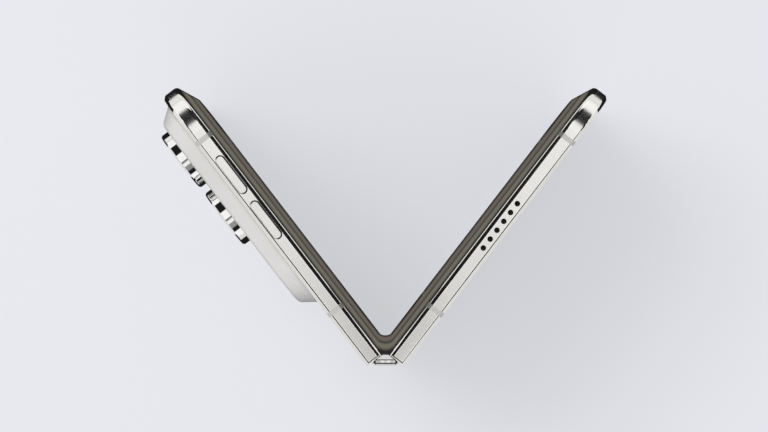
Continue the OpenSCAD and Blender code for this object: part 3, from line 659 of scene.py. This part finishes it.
def button(node, body, turn, place, length, proud):
    """A button with a bevelled cap, its stem and the flange that keeps it in its hole in the frame."""
    shape = bmesh.new()
    reach = RIM + BUTTON_GAP
    for long, wide, low, high in (
        (length - CAP_PLAY, BUTTON_WIDTH - CAP_PLAY, -proud, reach),
        (length + FLANGE_REACH, FLANGE_WIDTH, reach, reach + LAYER),
        (STEM_LENGTH, STEM_WIDTH, reach + LAYER, reach + 2 * LAYER),
    ):
        made = bmesh.ops.create_cone(
            shape, cap_ends=True, segments=64, radius1=wide / 2, radius2=wide / 2, depth=high - low
        )["verts"]
        for vert in made:
            if abs(vert.co.x) > 1e-6:
                vert.co.x += math.copysign((long - wide) / 2, vert.co.x)
            vert.co.z += (low + high) / 2
    rim = [e for e in shape.edges if all(abs(v.co.z + proud) < 1e-6 for v in e.verts)]
    bmesh.ops.bevel(
        shape, geom=rim, offset=CAP_ROUNDING, affect="EDGES", segments=4, profile=0.5, material=-1
    )
    bmesh.ops.transform(shape, verts=shape.verts, matrix=on_half("camera") @ Matrix.Translation(place) @ turn)
    made = piece(f"{node}_cap", shape, FINISHES["satin_metal"], body, 8.0)
    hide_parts(node)


CONTACT_COUNT = 12
CONTACT_PITCH = 0.5
CONTACT_SIZE = (0.28, 3.4, 0.05)
TONGUE_MIDDLE = 2.5
TONGUE_FACE = 0.36


def port_contacts():
    """A row of gold contacts on each face of the tongue in the charging port."""
    contacts = bmesh.new()
    for face in (-1, 1):
        for place in range(CONTACT_COUNT):
            strip = bmesh.ops.create_cube(contacts, size=1.0)["verts"]
            bmesh.ops.scale(contacts, verts=strip, vec=CONTACT_SIZE)
            along = HALF_LENGTH / 2 + (place - (CONTACT_COUNT - 1) / 2) * CONTACT_PITCH
            depth = TONGUE_MIDDLE + face * TONGUE_FACE
            bmesh.ops.translate(contacts, verts=strip, vec=(along, 3.1, depth))
    bmesh.ops.transform(contacts, verts=contacts.verts, matrix=on_half("camera"))
    return piece("port_contacts", contacts, CONTACTS, "camera_half")


TOP_DOWN = Matrix.Rotation(math.pi / 2, 4, "X")
port_contacts()
for body, along in (("volume_up", VOLUME_UP), ("volume_down", VOLUME_DOWN)):
    button(f"{body}_button", body, TOP_DOWN, (along, BODY_HEIGHT, EDGE_MIDDLE), VOLUME_LENGTH, 0.15)
SIDEWAYS = Matrix.Rotation(-math.pi / 2, 4, "Z") @ TOP_DOWN
button("side_button", "side_key", SIDEWAYS, (HALF_LENGTH, SIDE_HEIGHT, EDGE_MIDDLE), SIDE_LENGTH, 0.05)


# ---------- studio ----------


def glossy_only(made):
    """A card that only reflections show."""
    made.visible_camera = False
    made.visible_diffuse = False
    made.visible_transmission = False
    made.visible_volume_scatter = False
    made.visible_shadow = False


def stage_object(name, shape, material):
    mesh = bpy.data.meshes.new(name)
    shape.to_mesh(mesh)
    shape.free()
    mesh.materials.append(material)
    made = bpy.data.objects.new(name, mesh)
    bpy.context.scene.collection.objects.link(made)
    return made


def floor():
    """Pale paper, with a glow that keeps its shadows as light as the photograph's."""
    paper_sheet = bmesh.new()
    bmesh.ops.create_grid(paper_sheet, x_segments=1, y_segments=1, size=6.0)
    bmesh.ops.translate(paper_sheet, verts=paper_sheet.verts, vec=(0, 0, -0.0001))
    paper = bpy.data.materials.new("paper floor")
    start = cleared(paper)
    from_camera = start.make("LightPath")
    glossy = other_output(from_camera, "Is Glossy Ray")
    through = other_output(from_camera, "Is Transmission Ray")
    seen = (from_camera + glossy + through).maths("MINIMUM", 1.0)
    paper_tone = glossy.mix(colour(0.80, 0.815, 0.87), colour(0.83, 0.825, 0.81))
    matt = start.make("BsdfDiffuse", None, {"Color": paper_tone})
    tone = glossy.mix(colour(0.84, 0.85, 0.89), colour(0.87, 0.86, 0.84))
    light = start.make("Emission", None, {"Color": tone, "Strength": 1.0})
    show(start, start.make("MixShader", None, {0: seen * 0.6, 1: matt, 2: light}))
    stage_object("floor", paper_sheet, paper)


def glow(name, paint):
    """An emitting card's material."""
    material = bpy.data.materials.new(name)
    start = cleared(material)
    tone = paint(start, millimetres(start))
    show(start, start.make("Emission", None, {"Color": tone, "Strength": 1.0}))
    return material


def dark_glow(start, place):
    return start.make("RGB") * 0.0 + 0.012


def floor_card():
    """Dark card under the phone, seen only in reflections."""
    disc = bmesh.new()
    bmesh.ops.create_circle(disc, cap_ends=True, segments=96, radius=0.28)
    bmesh.ops.translate(disc, verts=disc.verts, vec=(0, -0.03, 0.00005))
    glossy_only(stage_object("floor_card", disc, glow("floor card", dark_glow)))


def upright_card(name, near, far, low, high, paint):
    """Card above the opening, edge on to the camera, that only reflections show."""
    card = bmesh.new()
    bmesh.ops.create_grid(card, x_segments=1, y_segments=1, size=1.0)
    for vert in card.verts:
        vert.co = (0.0, (far if vert.co.x > 0 else near) * MM, (high if vert.co.y > 0 else low) * MM)
    glossy_only(stage_object(name, card, glow(name, paint)))


def cards():
    """What the inner edges and the edges beside the spine mirror."""

    def fading(start, place):
        rise = parted(start, place)[2].ramp(200.0, 540.0)
        return rise.mix(colour(0.01, 0.01, 0.011), colour(0.16, 0.16, 0.155))

    upright_card("centre_card", -400.0, 0.0, BODY_HEIGHT + 2.0, BODY_HEIGHT + 422.0, fading)
    upright_card("spine_card", -2.0, 14.0, 124.5, 165.0, dark_glow)


def studio_world():
    """Even light on matt surfaces, bright and dark bands for mirrors, and pale paper for the camera."""
    world = bpy.data.worlds.new("studio")
    bpy.context.scene.world = world
    start = cleared(world)
    x, y, z = parted(start, start.make("TexCoord", out=0))
    level = (x * x + y * y + 0.0001).maths("SQRT")
    from_rings = (y * ACROSS - x * ALONG) / level
    along_rings = from_rings.ramp(0.972, 0.993)
    behind = (y / level).ramp(0.45, 0.55) * (1.0 - along_rings)
    upper = z.ramp(0.895, 0.918, 1.0, 0.0).maths("MAXIMUM", behind * z.ramp(0.992, 0.998, 1.0, 0.0))
    band = upper * (z + behind * 0.09).ramp(0.455, 0.485)
    grey = along_rings * z.ramp(0.69, 0.73)
    soft = band.mix(colour(1.0, 0.995, 0.985), grey.mix(colour(0.012, 0.012, 0.013), colour(0.3, 0.3, 0.295)))
    from_camera = start.make("LightPath")
    ambient = other_output(from_camera, "Is Glossy Ray").mix(colour(0.62, 0.62, 0.62), soft)
    shown = from_camera.mix(ambient, colour(0.84, 0.86, 0.93))
    sky = start.make("Background", None, {"Color": shown, "Strength": 1.0})
    show(start, sky, "OutputWorld")


def key_light():
    """A soft disc high at one side, which mirrors don't show."""
    key = bpy.data.lights.new("key", "AREA")
    key.shape = "DISK"
    key.size = 0.5
    key.energy = 5.6
    lamp = bpy.data.objects.new("key", key)
    bpy.context.scene.collection.objects.link(lamp)
    aim = Vector((0.0, -0.03, 0.05))
    tilt = math.radians(24)
    away = Vector((0.78 * math.sin(tilt), -0.62 * math.sin(tilt), math.cos(tilt)))
    lamp.location = aim + away * 1.2
    lamp.rotation_mode = "QUATERNION"
    lamp.rotation_quaternion = away.to_track_quat("Z", "Y")
    lamp.visible_glossy = False


PICTURE_WIDTH = 768


def camera():
    """Looks straight down the hinge from above, with the opening away from the lower edge of the picture."""
    lens = bpy.data.cameras.new("camera")
    lens.lens = 174.33
    lens.sensor_width = 36.0
    lens.shift_x = -1 / PICTURE_WIDTH
    lens.shift_y = -14.4 / PICTURE_WIDTH
    lens.clip_end = 20.0
    made = bpy.data.objects.new("camera", lens)
    bpy.context.scene.collection.objects.link(made)
    made.location = (0.00012, (AXIS_Y - 39.0) * MM, BODY_HEIGHT * MM + 0.915)
    made.rotation_euler = (0.0, 0.0, math.pi)
    bpy.context.scene.camera = made


camera()
floor()
floor_card()
cards()
studio_world()
key_light()
bpy.context.scene.view_settings.view_transform = "Standard"
